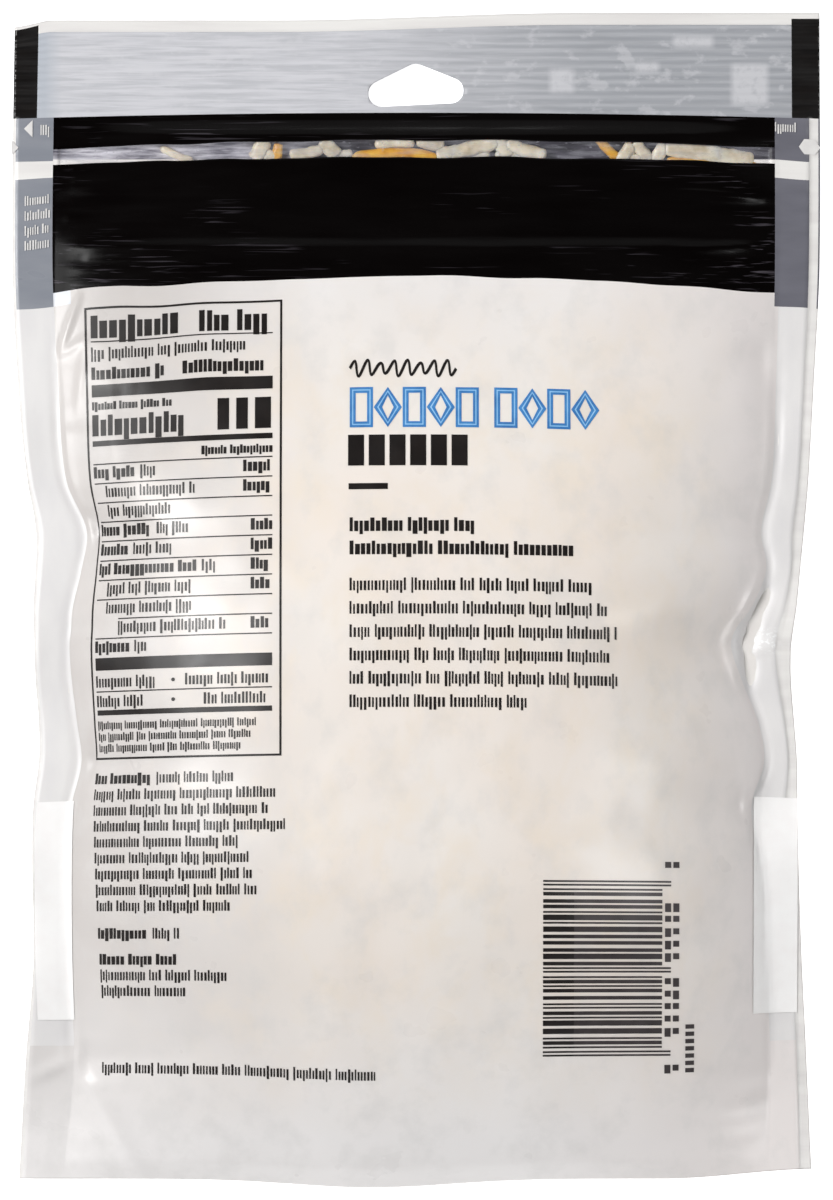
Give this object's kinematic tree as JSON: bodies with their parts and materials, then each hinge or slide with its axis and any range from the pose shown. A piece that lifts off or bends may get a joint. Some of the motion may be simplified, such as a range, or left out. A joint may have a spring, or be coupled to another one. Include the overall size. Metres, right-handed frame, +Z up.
{
  "type": "pouch of grated cheese",
  "caption": "Shut film pouch of grated cheese lying on its front: crimped header with a hang hole, zip ridges, side seals, folded bottom and a narrow clear strip that shows the shreds.",
  "frame": {"origin": "on the surface the pouch lies on, under the middle of its outline", "axes": "+X across the pouch to the right, +Y along it towards the header, +Z up out of the printed back"},
  "size_m": [0.1472, 0.214, 0.037],
  "materials": {
    "film": "white printed film with dark bands across the top, satin gloss",
    "cheese": "ivory and orange grated cheese, soft satin"
  },
  "bodies": {
    "root": {"pouch": "film", "cheese_shreds": "cheese"}
  },
  "joints": []
}
